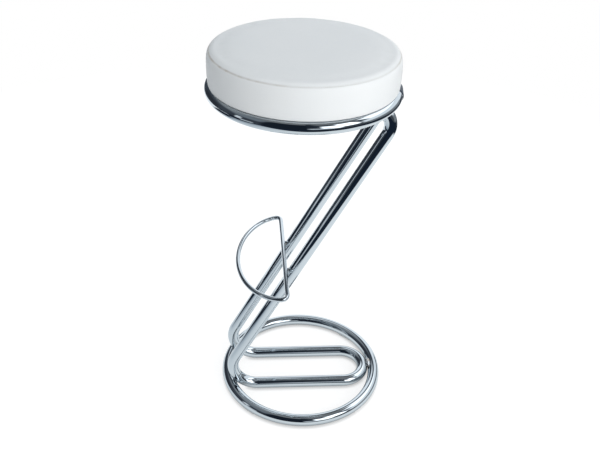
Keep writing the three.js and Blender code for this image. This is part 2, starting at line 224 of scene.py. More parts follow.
# %% Metal finishes
def chrome_finish():
    paint = new_paint("polished_chrome")
    smudge = paint.noise(14, 4)
    roughness = paint.spread(smudge, 0.42, 0.75, 0.02, 0.07)
    clean, dulled = (0.62, 0.67, 0.705, 1), (0.57, 0.625, 0.665, 1)
    tint = paint.mix(paint.spread(smudge, 0.3, 0.8), clean, dulled)
    waves = paint.bump(paint.noise(26, 2), 0.0004, 0.2)
    return paint.surface(Base_Color=tint, Metallic=1.0, Roughness=roughness, Normal=waves)


def patchy_finish(name, patch, tints, gloss, relief, share=None, grain=None, **sockets):
    """patch and grain are a noise's scale and detail. gloss and share are spreads of the first."""
    paint = new_paint(name)
    spots = paint.noise(*patch)
    tint = paint.mix(paint.spread(spots, *share) if share else spots, *tints)
    raised = paint.bump(paint.noise(*grain) if grain else spots, *relief)
    roughness = paint.spread(spots, *gloss)
    return paint.surface(Base_Color=tint, Roughness=roughness, Normal=raised, **sockets)


chrome = chrome_finish()
bead_metal = patchy_finish(
    "plated_weld_bead", (160, 4), [grey(0.60, -0.04), (0.40, 0.33, 0.26, 1)],
    (0.3, 0.8, 0.14, 0.34), (0.0004, 0.6), share=(0.5, 0.7), grain=(500, 3), Metallic=1.0,
)
zinc = patchy_finish(
    "zinc_plated_steel", (220, 3), [(0.72, 0.71, 0.66, 1), (0.56, 0.57, 0.58, 1)],
    (0.3, 0.7, 0.28, 0.42), (0.0001, 0.5), grain=(1400, 2), Metallic=1.0,
)
black_steel = patchy_finish(
    "black_painted_steel", (60, 4), [grey(0.018), grey(0.05, 0.05)],
    (0.3, 0.8, 0.38, 0.55), (0.00012, 0.6), share=(0.45, 0.8), grain=(900, 2),
)

# %% [markdown]
# The cover is a white coated cloth. Seen close, it has a fine pebble grain of cells a millimetre
# or so across, with a soft gloss that breaks up in the grain. The white is a little cool, and never
# quite even. A brown line in the seam is dust and painted shade in its groove. The thread is warmer
# than the cloth.

# %% Cover, thread and the pieces under the seat
SEAM_Z = 794.1 * MM


def seam_dust_and_shade(paint):
    """A brown line in the seam, of dust and painted shade in its groove, strong at the left and the
    far right, faint in front.
    """
    x, _, z = paint.apart(paint.node("TexCoord", output="Object"))
    near = paint.spread(paint.maths("ABSOLUTE", z - SEAM_Z), 0.0004, 0.0018, 1.0, 0.0)
    patchy = paint.spread(paint.noise(60, 3), 0.35, 0.6, 0.4, 1.0)
    left_share = paint.spread(x, -0.15, -0.03, 0.75, 0.08)
    right_share = paint.spread(x, 0.135, 0.175) * 0.6
    return near * patchy * (left_share + right_share)


def leatherette_finish():
    paint = new_paint("white_leatherette")
    sockets = {"Vector": paint.coords(), "Scale": 760.0}
    cells = paint.node("TexVoronoi", {"feature": "DISTANCE_TO_EDGE"}, sockets, "Distance")
    pebbles = paint.spread(cells, 0.0, 0.22)
    creases = paint.noise(95, 5)
    height = pebbles * 0.55 + paint.noise(1900, 2) * 0.25 + creases * 0.9
    cloud = paint.noise(7, 3)
    duller, brighter = (0.775, 0.80, 0.812, 1), (0.80, 0.818, 0.826, 1)
    white = paint.mix(paint.spread(cloud, 0.3, 0.7), duller, brighter)
    # The grooves between the pebbles are a little darker: painted shade.
    white = paint.mix((1 - pebbles) * 0.08, white, (0.62, 0.64, 0.65, 1))
    # A brown line of dust and painted shade along the seam's groove.
    white = paint.mix(seam_dust_and_shade(paint), white, (0.45, 0.39, 0.33, 1))
    roughness = paint.spread(creases, 0.3, 0.75, 0.40, 0.54) + (1 - pebbles) * 0.12
    grain = paint.bump(height, 0.00022, 0.55)
    return paint.surface(Base_Color=white, Roughness=roughness, Normal=grain)


def thread_finish():
    paint = new_paint("sewing_thread")
    twist = paint.noise(2600, 2, (1, 1, 0.3))
    tint = paint.mix(twist, (0.62, 0.60, 0.56, 1), (0.78, 0.77, 0.74, 1))
    return paint.surface(Base_Color=tint, Roughness=0.7, Normal=paint.bump(twist, 0.0001, 0.6))


def plywood_finish():
    paint = new_paint("birch_plywood")
    grain = paint.noise(38, 5, (1, 9, 9))
    bands = {"wave_type": "BANDS", "bands_direction": "Z"}
    sockets = {"Vector": paint.coords(), "Scale": 105.0, "Distortion": 0.3}
    plies = paint.node("TexWave", bands, sockets, "Fac")
    tint = paint.mix(paint.spread(grain, 0.3, 0.7), (0.50, 0.33, 0.17, 1), (0.66, 0.47, 0.27, 1))
    tint = paint.mix(paint.spread(plies, 0.4, 0.6) * 0.35, tint, (0.30, 0.19, 0.10, 1))
    fibres = paint.bump(grain, 0.0003, 0.6)
    roughness = paint.spread(grain, 0.3, 0.7, 0.6, 0.8)
    return paint.surface(Base_Color=tint, Roughness=roughness, Normal=fibres)


def foam_finish():
    paint = new_paint("open_cell_foam")
    sockets = {"Vector": paint.coords(), "Scale": 900.0}
    cells = paint.node("TexVoronoi", sockets=sockets, output="Distance")
    tint = paint.mix(cells, (0.80, 0.72, 0.45, 1), (0.55, 0.47, 0.27, 1))
    return paint.surface(Base_Color=tint, Roughness=0.95, Normal=paint.bump(cells, 0.0004, 0.8))


def dust_cloth_finish():
    paint = new_paint("black_dust_cloth")
    fibres = paint.noise(260, 6, (1, 1, 4))
    weft = paint.noise(260, 6, (5, 1, 1))
    tint = paint.mix(fibres, grey(0.012), grey(0.035))
    felt = paint.bump(fibres + weft, 0.0004, 0.8)
    roughness = paint.spread(weft, 0.3, 0.7, 0.8, 0.95)
    return paint.surface(Base_Color=tint, Roughness=roughness, Normal=felt)


leatherette = leatherette_finish()
thread = thread_finish()
sleeve_plastic = patchy_finish(
    "dark_sleeve_plastic", (900, 3), [(0.03, 0.042, 0.062, 1), (0.05, 0.068, 0.095, 1)],
    (0.3, 0.7, 0.42, 0.55), (0.00005, 0.4), Specular_IOR_Level=0.3,
)
glide_plastic = patchy_finish(
    "clear_glide_plastic", (120, 3), [(0.74, 0.76, 0.77, 1), (0.82, 0.83, 0.83, 1)],
    (0.3, 0.7, 0.3, 0.5), (0.0002, 0.3),
)
plywood = plywood_finish()
foam_stuff = foam_finish()
dust_felt = dust_cloth_finish()

# %% [markdown]
# Much of this stool follows a path or repeats: bent tube, stitches, staples and screws. Geometry
# Nodes suit that. The class below writes a node tree with named inputs, and `grow` runs it on a
# seed shape and keeps the result as a plain mesh.

# %% Geometry Nodes helpers
TUBE_SIDES = 40


class Recipe:
    """A Geometry Nodes tree with named inputs, which ends in one realized mesh."""

    def __init__(self, name, **inputs):
        self.tree = bpy.data.node_groups.new(name, "GeometryNodeTree")
        sides = self.tree.interface
        sides.new_socket("Geometry", in_out="INPUT", socket_type="NodeSocketGeometry")
        sides.new_socket("Geometry", in_out="OUTPUT", socket_type="NodeSocketGeometry")
        for key, kind in {**inputs, "Finish": "Material"}.items():
            sides.new_socket(key, in_out="INPUT", socket_type="NodeSocket" + kind)
        self.start = self.tree.nodes.new("NodeGroupInput")

    def given(self, name):
        return self.start.outputs[name]

    def node(self, kind, settings=None, sockets=None, output=0):
        return add_node(self.tree, kind, settings, sockets).outputs[output]

    def end(self, geometry):
        whole = self.node("GeometryNodeRealizeInstances", sockets={0: geometry})
        smooth = self.node("GeometryNodeSetShadeSmooth", sockets={0: whole})
        painted = self.node(
            "GeometryNodeSetMaterial", sockets={0: smooth, "Material": self.given("Finish")}
        )
        out = self.tree.nodes.new("NodeGroupOutput")
        self.tree.links.new(painted, out.inputs[0])
        return self.tree


def seed_mesh(name, points, joined=True):
    """The seed that a recipe works on: a closed path of edges, or loose points."""
    count = len(points)
    edges = [(k, (k + 1) % count) for k in range(count)] if joined else []
    mesh = bpy.data.meshes.new(name)
    mesh.from_pydata([tuple(p) for p in points], edges, [])
    return new_piece(name, mesh)


def strip(one, two):
    """The corners of the faces between two rings of points."""
    count = len(one)
    return [(one[k], one[(k + 1) % count], two[(k + 1) % count], two[k]) for k in range(count)]


def finished(shape, name, finish=None):
    """Turns a shape that is being worked on into a piece. With a finish it is smooth as well."""
    mesh = bpy.data.meshes.new(name)
    shape.to_mesh(mesh)
    shape.free()
    if finish:
        mesh.polygons.foreach_set("use_smooth", [True] * len(mesh.polygons))
        mesh.materials.append(finish)
    return new_piece(name, mesh)


def grow(name, tree, seed, **values):
    """Runs a recipe on a seed object, whose place is taken by the mesh that it makes."""
    modifier = seed.modifiers.new("recipe", "NODES")
    modifier.node_group = tree
    for item in tree.interface.items_tree:
        if item.in_out == "INPUT" and item.name in values:
            modifier[item.identifier] = values[item.name]
    graph = bpy.context.evaluated_depsgraph_get()
    mesh = bpy.data.meshes.new_from_object(seed.evaluated_get(graph), depsgraph=graph)
    bpy.data.objects.remove(seed)
    mesh.name = name
    return new_piece(name, mesh)


def hand_over(piece, slot, *solids):
    """Ties a finished piece to the stool, and hides the solids that it stands for."""
    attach(piece, "root")
    if solids:
        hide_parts(*solids)
    print(piece.name, "-", len(piece.data.polygons), "faces")


def tube_recipe():
    recipe = Recipe("bent_tube", Radius="Float", Sides="Int")
    path = recipe.node("GeometryNodeMeshToCurve", sockets={0: recipe.given("Geometry")})
    sockets = {"Resolution": recipe.given("Sides"), "Radius": recipe.given("Radius")}
    section = recipe.node("GeometryNodeCurvePrimitiveCircle", sockets=sockets)
    sockets = {"Curve": path, "Profile Curve": section, "Fill Caps": True}
    return recipe.end(recipe.node("GeometryNodeCurveToMesh", sockets=sockets))


bent_tube = tube_recipe()


def closed_tube(name, points, *solids, radius=TUBE, sides=TUBE_SIDES):
    """A chromed tube along a closed path, in place of some solids."""
    seed = seed_mesh(name + "_path", points)
    piece = grow(name, bent_tube, seed, Radius=radius, Sides=sides, Finish=chrome)
    hand_over(piece, "chrome", *solids)

# %% [markdown]
# The frame is one tube, bent in a jig: two bends at the feet, two at the head and a half turn at
# each end. The tube recipe sweeps a round section along a path of straight runs with rounded
# corners. The two halves of the solid model become one tube, because the real one shows no joint.

# %% The bent frame
BEND_STEP = math.radians(4)


def bent_path(corners, radii):
    """Points of a closed path through corners, each corner rounded to its own radius."""
    points = []
    count = len(corners)
    for i, (corner, radius) in enumerate(zip(corners, radii)):
        arriving = (corner - corners[i - 1]).normalized()
        leaving = (corners[(i + 1) % count] - corner).normalized()
        turn = arriving.angle(leaving)
        start = corner - arriving * radius * math.tan(turn / 2)
        side = (leaving - arriving * leaving.dot(arriving)).normalized()
        steps = max(2, round(turn / BEND_STEP))
        for k in range(steps + 1):
            angle = turn * k / steps
            ahead = arriving * math.sin(angle) + side * (1 - math.cos(angle))
            points.append(start + ahead * radius)
    before = [points[-1], *points]
    return [point for point, last in zip(points, before) if (point - last).length > HAIR]


head_x = leg_x(ARM_Z)
half_corners = [(floor_end_x, FLOOR_Z), (FOOT_X, FLOOR_Z), (head_x, ARM_Z), (seat_end_x, ARM_Z)]
frame_corners = [Vector((x, -LEG_Y, z)) for x, z in half_corners]
frame_corners += [Vector((x, LEG_Y, z)) for x, z in reversed(half_corners)]
loop_bend = LEG_Y - HAIR
half_radii = [loop_bend, FOOT_BEND, HEAD_BEND, loop_bend]
frame_radii = half_radii + half_radii[::-1]
frame_points = bent_path(frame_corners, frame_radii)
closed_tube("bent_frame", frame_points, "frame_front", "frame_rear")

# %% [markdown]
# The base ring and the seat ring are the same tube rolled to circles. Each is closed by a weld that
# is ground flush before plating, so nothing shows on the base ring. On the seat ring the joint is
# hidden by a dark sleeve.

# %% The two rings and the sleeve
def circle(x, radius, z, steps=240):
    return [polar(radius, 2 * math.pi * k / steps, z, x) for k in range(steps)]


closed_tube("floor_ring", circle(BASE_X, BASE_RADIUS, FLOOR_Z), "base_ring")
closed_tube("pad_ring", circle(SEAT_X, SEAT_RADIUS, SEAT_Z), "seat_ring")

SLEEVE_ANGLE = math.radians(-7.5)
SLEEVE_HALF = 18 * MM / SEAT_RADIUS
# Place along the sleeve as a share of its half length, and radius in millimetres
sleeve_profile = [(-1.0, 12.75), (-1.0, 13.6), (-0.95, 14.2), (-0.88, 14.35)]
sleeve_profile += [(-along, radius) for along, radius in reversed(sleeve_profile)]


def ring_sleeve():
    """A short tube round the seat ring, with rounded lips."""
    shape = bmesh.new()
    rows = []
    for along, radius in sleeve_profile:
        angle = SLEEVE_ANGLE + along * SLEEVE_HALF
        spoke = Vector((math.cos(angle), math.sin(angle), 0))
        middle = SEAT_MIDDLE + spoke * SEAT_RADIUS + Vector((0, 0, SEAT_Z))
        row = []
        for k in range(TUBE_SIDES):
            turn = 2 * math.pi * k / TUBE_SIDES
            side = spoke * math.cos(turn) + Vector((0, 0, math.sin(turn)))
            row.append(shape.verts.new(middle + side * radius * MM))
        rows.append(row)
    for one, two in zip(rows, rows[1:] + rows[:1]):
        for corners in strip(one, two):
            shape.faces.new(corners)
    bmesh.ops.recalc_face_normals(shape, faces=shape.faces)
    return finished(shape, "joint_sleeve", sleeve_plastic)


hand_over(ring_sleeve(), "sleeve_plastic", "ring_joint_sleeve")

# %% [markdown]
# The foot hoop is one rod bent to a D. Its straight side runs along the two legs, on two short
# stubs, and its bow, half an ellipse from above, droops a little. The rod is drawn a little thicker
# than its solid, as it looks in the photograph.

# %% The foot hoop
HOOP_Z = 335.4 * MM
HOOP_ROD = 4.5 * MM
HOOP_HALF = 154.4 * MM
HOOP_DEPTH = 99.1 * MM
HOOP_DROOP = math.radians(6)
HOOP_OFF = TUBE + 2 * MM + HOOP_ROD
CORNER_SHARE = 0.2
SHOWN_THICKER = 1.09
hoop_x = leg_x(HOOP_Z) - HOOP_OFF / math.sin(LEG_ANGLE)


def hoop_place(across, out):
    left, down = out * math.cos(HOOP_DROOP), out * math.sin(HOOP_DROOP)
    return Vector((hoop_x - left, across, HOOP_Z - down))


def hoop_plan():
    """Half of the hoop's plan, from the middle of the straight side to the tip of the bow."""
    meet = math.asin(CORNER_SHARE)
    end = Vector((HOOP_HALF * math.cos(meet), HOOP_DEPTH * CORNER_SHARE))
    corner = Vector((HOOP_HALF / math.cos(meet), 0))
    start = Vector((corner.x - (corner - end).length, 0))
    straight = [start * k / 8 for k in range(8)]
    shares = [k / 10 for k in range(11)]
    rounded = [start.lerp(corner, a).lerp(corner.lerp(end, a), a) for a in shares]
    angles = [meet + (math.pi / 2 - meet) * k / 40 for k in range(1, 41)]
    bow = [Vector((HOOP_HALF * math.cos(a), HOOP_DEPTH * math.sin(a))) for a in angles]
    return straight + rounded + bow


half_plan = hoop_plan()
whole_plan = [(p.x, p.y) for p in half_plan] + [(-p.x, p.y) for p in reversed(half_plan[1:-1])]
hoop_points = [hoop_place(*p) for p in whole_plan]
closed_tube("hoop_rod", hoop_points, "foot_hoop", radius=HOOP_ROD * SHOWN_THICKER, sides=24)

# %% [markdown]
# Each stub is a short round post between a leg and the hoop. It starts and ends inside them, as
# the welded one does, and it flares a little at the leg, where the weld fills the corner.

# %% Hoop stubs
STUB_RADIUS = 4.6 * MM
STUB_FLARE = STUB_RADIUS * 1.35
across_leg = Vector((-math.sin(LEG_ANGLE), 0, math.cos(LEG_ANGLE)))


def turned_piece(name, profile, centre, steps, finish, axis=None):
    """A piece turned round an axis, from (radius, height) points. An end on the axis is closed."""
    shape = bmesh.new()
    place = Matrix.Translation(centre)
    if axis:
        place = place @ axis.to_track_quat("Z", "Y").to_matrix().to_4x4()
    rows = []
    for radius, height in profile:
        if radius < HAIR * 0.01:
            rows.append([shape.verts.new(place @ Vector((0, 0, height)))] * steps)
            continue
        turns = [2 * math.pi * k / steps for k in range(steps)]
        row = [Vector((radius * math.cos(a), radius * math.sin(a), height)) for a in turns]
        rows.append([shape.verts.new(place @ p) for p in row])
    for one, two in zip(rows, rows[1:]):
        for corners in strip(one, two):
            shape.faces.new(list(dict.fromkeys(corners)))
    bmesh.ops.recalc_face_normals(shape, faces=shape.faces)
    return finished(shape, name, finish)


for name, side in {"front": -1, "rear": 1}.items():
    start = Vector((hoop_x, side * LEG_Y, HOOP_Z)) - across_leg * HOOP_OFF
    profile = [(0, TUBE * 0.8), (STUB_FLARE, TUBE * 0.8), (STUB_FLARE, TUBE * 0.97)]
    profile += [(STUB_RADIUS, TUBE * 1.07), (STUB_RADIUS * 0.9, HOOP_OFF - HOOP_ROD * 0.6)]
    profile += [(0, HOOP_OFF - HOOP_ROD * 0.5)]
    post = turned_piece(f"hoop_post_{name}", profile, start, 24, bead_metal, across_leg)
    hand_over(post, "weld", f"hoop_stub_{name}")

# %% [markdown]
# The pad is foam in a sewn cover: a round top panel, and a side band that runs down, over the seat
# ring and under the board. Both are made as one skin, so that the cloth simulation can blow it up
# from inside. The top is a square net bent to a disc, because a net that closes in one point would
# pinch there.

# %% The pad's skin
SEAM_RADIUS = 176.7 * MM
FOOT_Z = SEAT_Z + TUBE + HAIR
CROWN = 8.0 * MM
ROUND, ROUND_WIDTH = 15.5 * MM, 12 * MM
HEM_Z = 723.2 * MM
HEM_RADIUS = 139.6 * MM
NET = 60
RIM = 4 * NET

# How far down from the seam, and how far out from it, in millimetres
SIDE_SHAPE = [(0.6, 0.7), (1.6, 1.6), (3.5, 2.7), (7, 3.7), (12, 4.4), (17, 4.7), (23, 4.8)]
SIDE_SHAPE += [(29, 4.8), (35, 4.8), (41, 4.7), (46.5, 4.5), (51.5, 4.2), (55.5, 3.9)]
SIDE_SHAPE += [(58.5, 3.6), (60.7, 3.2)]

# Where the band runs over the seat ring, in degrees round the tube, and then on to the hem
OVER_FROM, OVER_TO, OVER_STEPS = 80, 167, 8


def crown_height(radius):
    """Height over the seam: a low dome whose edge is rounded down to the seam."""
    past = max(0, radius - SEAM_RADIUS + ROUND_WIDTH)
    end = math.sqrt(ROUND**2 - ROUND_WIDTH**2)
    dome = (CROWN - ROUND + end) * (1 - (radius / SEAM_RADIUS) ** 2)
    return dome + math.sqrt(ROUND**2 - past**2) - end


def band_profile():
    """Points (radius, height) from just under the seam to the hem."""
    side = [(SEAM_RADIUS + out * MM, SEAM_Z - down * MM) for down, out in SIDE_SHAPE]
    reach = TUBE + HAIR
    over = []
    for k in range(OVER_STEPS + 1):
        angle = math.radians(OVER_FROM + (OVER_TO - OVER_FROM) * k / OVER_STEPS)
        over.append((SEAT_RADIUS + reach * math.cos(angle), SEAT_Z + reach * math.sin(angle)))
    return side + over + [(HEM_RADIUS + flat * MM, HEM_Z) for flat in (14, 7, 0)]


def net_point(i, j):
    """A point of the square net, moved to its place on the round crown."""
    u, v = 2 * i / NET - 1, 2 * j / NET - 1
    reach = max(abs(u), abs(v))
    if reach < 1e-9:
        return Vector((SEAT_X, 0, SEAM_Z + CROWN))
    if abs(u) >= abs(v):
        angle = math.pi / 4 * v / u + (math.pi if u < 0 else 0)
    else:
        angle = math.pi / 2 - math.pi / 4 * u / v + (math.pi if v < 0 else 0)
    radius = (1 - (1 - reach) ** 1.5) * SEAM_RADIUS
    return polar(radius, angle, SEAM_Z + crown_height(radius))


def at(i, j):
    """The number of a point of the net."""
    return i * (NET + 1) + j


def pad_skin():
    """The whole cover as one sheet, and its rows of points from the rim down."""
    points, faces = [], []
    for i in range(NET + 1):
        points += [net_point(i, j) for j in range(NET + 1)]
    for i in range(NET):
        for j in range(NET):
            faces.append((at(i, j), at(i + 1, j), at(i + 1, j + 1), at(i, j + 1)))
    rim = [at(NET, k) for k in range(NET)] + [at(NET - k, NET) for k in range(NET)]
    rim += [at(0, NET - k) for k in range(NET)] + [at(k, 0) for k in range(NET)]
    rows = [rim]
    turns = [2 * math.pi * k / RIM - math.pi / 4 for k in range(RIM)]
    for radius, height in band_profile():
        above = rows[-1]
        row = list(range(len(points), len(points) + RIM))
        points += [polar(radius, turn, height) for turn in turns]
        faces += [(a, d, c, b) for a, b, c, d in strip(above, row)]
        rows.append(row)
    mesh = bpy.data.meshes.new("pad_skin")
    mesh.from_pydata([tuple(p) for p in points], [], faces)
    return mesh, rows


skin_mesh, skin_rows = pad_skin()
skin = new_piece("pad_skin", skin_mesh)
print("pad skin:", len(skin_mesh.vertices), "points,", len(skin_rows), "rows")

# %% [markdown]
# The cloth simulation pushes the skin outward from inside, as the foam does. The seam and
# everything from the foot down are held, so the top swells inside its rim, and the band swells
# between the seam and the seat ring. A limit on each point's travel keeps the pad its real size.
# The foam's shoulder is moulded, so the swelling of the top fades out towards the seam.

# %% Blow up the pad
STUFFING = {
    "quality": 5, "mass": 0.3, "tension_stiffness": 15, "compression_stiffness": 15,
    "shear_stiffness": 5, "bending_stiffness": 0.8, "use_pressure": True,
    "uniform_pressure_force": 3.5, "vertex_group_mass": "held",
}
LAST_STEP = 20
TRAVEL = 2.6 * MM
SHOULDER = 45 * MM
FOOT_ROW = 15


def blow_up(piece, held):
    start = np.array([v.co[:] for v in piece.data.vertices])
    group = piece.vertex_groups.new(name="held")
    group.add(held, 1.0, "REPLACE")
    cloth = piece.modifiers.new("stuffing", "CLOTH")
    for key, setting in STUFFING.items():
        setattr(cloth.settings, key, setting)
    cloth.settings.effector_weights.gravity = 0
    cloth.collision_settings.use_collision = False
    for time in range(1, LAST_STEP + 1):
        bpy.context.scene.frame_set(time)
    graph = bpy.context.evaluated_depsgraph_get()
    moved = np.array([v.co[:] for v in piece.evaluated_get(graph).data.vertices])
    piece.modifiers.remove(cloth)
    bpy.context.scene.frame_set(1)
    step = moved - start
    length = np.linalg.norm(step, axis=1, keepdims=True)
    capped = TRAVEL * np.tanh(length / TRAVEL)
    inside_seam = SEAM_RADIUS - np.hypot(start[:, 0] - SEAT_X, start[:, 1])
    share = np.clip(inside_seam / SHOULDER, 0, 1)
    share = np.where(start[:, 2] > SEAM_Z, share * share * (3 - 2 * share), 1.0)
    capped = capped * share[:, None]
    moved = start + step * capped / np.maximum(length, 1e-12)
    piece.data.vertices.foreach_set("co", moved.ravel())
    limited, free = float(capped.max()) / MM, float(length.max()) / MM
    print("pad swelled by, mm:", round(limited, 2), "before the limit:", round(free, 2))


held = sorted({k for row in [skin_rows[0], *skin_rows[FOOT_ROW:]] for k in row})
blow_up(skin, held)

# %% [markdown]
# The blown-up skin is cut in two along the seam, as the real cover was before it was sewn. Each
# edge is then turned in, which leaves the fine groove that a plain seam makes. The cloth gathers a
# little at the stitches, so short ripples run from the seam and die out within a few centimetres,
# and broader folds grow out of them.

# %% Cut the cover along its seam
NET_POINTS = (NET + 1) ** 2
COVER = 1.2 * MM
LIP = 0.3 * MM
GATHER_FULL, GATHER_FADE = 5 * MM, 13 * MM
FOLD_FULL, FOLD_REACH = 12 * MM, 45 * MM

# How far in from the seam, and how far back from it, in millimetres
TUCK = [(0.15, 0.2), (0.6, 0.1), (1.5, 0.08)]


def ripple(place):
    """How far the cloth stands out at a point, from the gathers along the seam."""
    angle = math.atan2(place.y, place.x - SEAT_X)
    far = abs(place.z - SEAM_Z) + max(0, SEAM_RADIUS - math.hypot(place.x - SEAT_X, place.y))
    if far > FOLD_REACH or place.z < FOOT_Z:
        return 0
    around = Vector((math.cos(angle), math.sin(angle), 0))
    fine = noise.noise(around * 19 + Vector((3, 1, far * 18)))
    broad = noise.noise(around * 5 + Vector((8, 2, far * 6)))
    drag = noise.noise(around * 2.5 + Vector((4, 9, place.z * 70)))
    gathers = 0.5 * fine * min(1, far / GATHER_FULL) * math.exp(-far / GATHER_FADE)
    folds = (0.45 * broad + 0.16 * drag) * min(1, far / FOLD_FULL)
    return (gathers + folds) * MM


def in_net(face):
    return all(v.index < NET_POINTS for v in face.verts)


def cut_cover(name, top):
    """Keeps one panel of the skin, the top or the band, and turns its seam edge in."""
    sense = 1 if top else -1
    shape = bmesh.new()
    shape.from_mesh(skin.data)
    shape.verts.ensure_lookup_table()
    rim_points = [shape.verts[k] for k in skin_rows[0]]
    shape.normal_update()
    for v in shape.verts:
        v.co += v.normal * ripple(v.co)
    doomed = [face for face in shape.faces if in_net(face) != top]
    bmesh.ops.delete(shape, geom=doomed, context="FACES")
    edge = rim_points
    spokes = [Vector((v.co.x - SEAT_X, v.co.y, 0)).normalized() for v in rim_points]
    base = [v.co.copy() for v in rim_points]
    for v in rim_points:
        v.co.z += sense * LIP
    for inward, lift in TUCK:
        rise = Vector((0, 0, sense * lift * MM))
        row = [shape.verts.new(p - s * inward * MM + rise) for p, s in zip(base, spokes)]
        for corners in strip(edge, row):
            shape.faces.new(corners)
        edge = row
    bmesh.ops.recalc_face_normals(shape, faces=shape.faces)
    piece = finished(shape, name, leatherette)
    wall = piece.modifiers.new("cloth_thickness", "SOLIDIFY")
    wall.thickness, wall.offset = COVER, -1
    finer = piece.modifiers.new("finer", "SUBSURF")
    finer.levels = finer.render_levels = 1
    return piece


top_panel = cut_cover("cover_top", True)
side_band = cut_cover("cover_band", False)
bpy.data.objects.remove(skin)
hand_over(top_panel, "leatherette", "cover_top_panel")
hand_over(side_band, "leatherette", "cover_side_band")

# %% [markdown]
# Inside the cover is one block of foam, with its crown and its rounded shoulder. Nobody sees it
# unless the cover comes off, but the part should hold what the real pad holds.

# %% Foam
DISC_STEPS = 96
BOARD_TOP = 736.7 * MM
FOAM_GAP = 3 * MM

# Radius, and height over the foot or drop under the seam, in millimetres
FOAM_FOOT = [(173, 2.2), (178.2, 4), (179.4, 20)]
FOAM_SHOULDER = [(179.2, 20), (176.5, 8), (171.5, 3)]

foam_profile = [(reach * MM, BOARD_TOP + HAIR) for reach in (0, 100, 158)]
foam_profile += [(reach * MM, FOOT_Z + rise * MM) for reach, rise in FOAM_FOOT]
foam_profile += [(reach * MM, SEAM_Z - drop * MM) for reach, drop in FOAM_SHOULDER]
for reach in (162, 150, 130, 90, 50, 0):
    foam_profile.append((reach * MM, SEAM_Z + crown_height(reach * MM) - FOAM_GAP))
foam = turned_piece("foam_filling", foam_profile, SEAT_MIDDLE, DISC_STEPS, foam_stuff)
hand_over(foam, "foam", "foam_pad")

# %% [markdown]
# Under the board a thin black cloth keeps the dust out. It is cut to a disc with a turned edge,
# and it sags a hair between its staples.

# %% Dust cloth
CLOTH_Z = 722.3 * MM
CLOTH_RADIUS = 153.6 * MM
CLOTH_SAG, CLOTH_THICK = 0.25 * MM, 0.6 * MM


def dust_profile():
    shares = [k / 24 for k in range(24)]
    bottom = [(CLOTH_RADIUS * a, CLOTH_Z - CLOTH_SAG * math.sin(math.pi * a)) for a in shares]
    inner, top = CLOTH_RADIUS - CLOTH_THICK / 2, CLOTH_Z + CLOTH_THICK
    edge = [(inner, CLOTH_Z), (CLOTH_RADIUS, CLOTH_Z + CLOTH_THICK / 2), (inner, top)]
    return bottom + edge + [(CLOTH_RADIUS / 2, top), (0, top)]


dust_cover = turned_piece("dust_cover", dust_profile(), SEAT_MIDDLE, DISC_STEPS, dust_felt)
hand_over(dust_cover, "dust_cloth", "dust_cloth")

# %% [markdown]
# Stitches, staples, screws and washers repeat, so each is modelled once with few faces, and a
# recipe sets it on points: evenly along a path, or on loose points as they are. Each copy turns to
# face away from the middle of the seat, with a small random twist from a fixed seed.

# %% Recipe for small repeated pieces
def row_recipe(name, spaced):
    kinds = {"Shape": "Object", "Middle": "Float", "Spacing": "Float", "Twist": "Float"}
    recipe = Recipe(name, **kinds, Seed="Int")

    def maths(operation, first, second):
        return recipe.node("ShaderNodeMath", {"operation": operation}, {0: first, 1: second})

    points = recipe.given("Geometry")
    if spaced:
        path = recipe.node("GeometryNodeMeshToCurve", sockets={0: points})
        sockets = {"Curve": path, "Length": recipe.given("Spacing")}
        path = recipe.node("GeometryNodeResampleCurve", {"mode": "LENGTH"}, sockets)
        points = recipe.node("GeometryNodeCurveToPoints", {"mode": "EVALUATED"}, {0: path})
    place = recipe.node("GeometryNodeInputPosition")
    x = recipe.node("ShaderNodeSeparateXYZ", sockets={0: place})
    y = x.node.outputs[1]
    turn = maths("ARCTAN2", y, maths("SUBTRACT", x, recipe.given("Middle")))
    sockets = {2: -1.0, 3: 1.0, "Seed": recipe.given("Seed")}
    chance = recipe.node("FunctionNodeRandomValue", {"data_type": "FLOAT"}, sockets, 1)
    turn = maths("ADD", turn, maths("MULTIPLY", chance, recipe.given("Twist")))
    angles = recipe.node("ShaderNodeCombineXYZ", sockets={2: turn})
    rotation = recipe.node("FunctionNodeEulerToRotation", sockets={0: angles})
    shape = recipe.node("GeometryNodeObjectInfo", sockets={0: recipe.given("Shape")}, output=4)
    sockets = {"Points": points, "Instance": shape, "Rotation": rotation}
    return recipe.end(recipe.node("GeometryNodeInstanceOnPoints", sockets=sockets))


spaced_row = row_recipe("spaced_row", True)
loose_row = row_recipe("loose_row", False)


def repeat(name, tree, seed, shape, finish, **values):
    piece = grow(name, tree, seed, Shape=shape, Middle=SEAT_X, Seed=7, Finish=finish, **values)
    bpy.data.objects.remove(shape)
    return piece

# %% [markdown]
# The seam's stitches lie across the groove, some three millimetres apart. One stitch is a short
# six-sided bar with pointed ends, a thread's width thick and tipped to follow the shoulder.

# %% Stitches
STITCH_PITCH = 3.2 * MM
STITCH_SUNK = 0.1 * MM


def turned_shape(name, profile, steps, finish, lean=None, lift=0):
    """One small piece to repeat, turned from (radius, height) points in millimetres."""
    scaled = [(radius * MM, (lift + height) * MM) for radius, height in profile]
    return turned_piece(name, scaled, Vector(), steps, finish, lean)


def stitch_shape():
    profile = [(0, -0.95), (0.19, -0.7), (0.24, 0), (0.19, 0.7), (0, 0.95)]
    return turned_shape("one_stitch", profile, 6, thread, Vector((0.62, 0, -0.78)))


seed = seed_mesh("seam_path", circle(SEAT_X, SEAM_RADIUS - STITCH_SUNK, SEAM_Z))
stitches = repeat(
    "seam_stitches", spaced_row, seed, stitch_shape(), thread, Spacing=STITCH_PITCH, Twist=0.12
)
hand_over(stitches, "leatherette")

# %% [markdown]
# Staples hold the dust cloth to the board, except where the two straps run.

